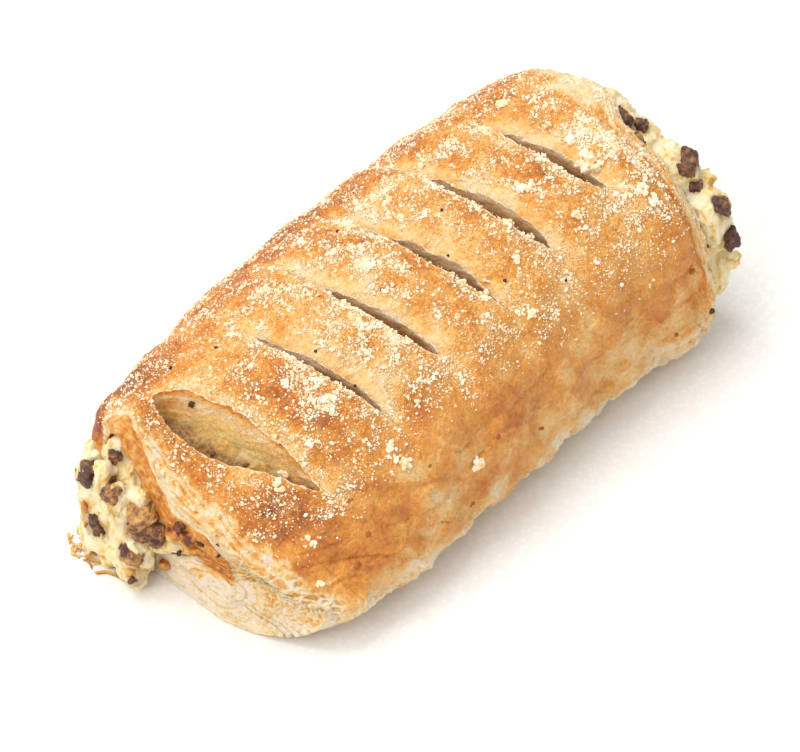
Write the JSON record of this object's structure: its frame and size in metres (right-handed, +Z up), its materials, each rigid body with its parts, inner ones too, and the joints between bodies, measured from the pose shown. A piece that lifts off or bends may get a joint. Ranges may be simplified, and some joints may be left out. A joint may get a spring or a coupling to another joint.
{
  "type": "meat pasty",
  "caption": "Baked puff pastry sleeve wrapped round a meat and potato filling that shows at both open ends and through slashes cut across the top.",
  "frame": {"origin": "middle of the flat underside that the pasty rests on", "axes": "+X along the loaf away from the end that gapes, +Y across it, +Z up through the slashed top"},
  "size_m": [0.1508, 0.0804, 0.0505],
  "materials": {
    "crust": "golden to orange-brown baked puff pastry, satin glaze on the sides, pale flaky cut edges and a dusting of pale crumbs",
    "filling": "moist pale yellow potato and egg with grey-brown and dark brown minced meat"
  },
  "bodies": {
    "root": {"crust": "crust", "filling": "filling"}
  },
  "joints": []
}
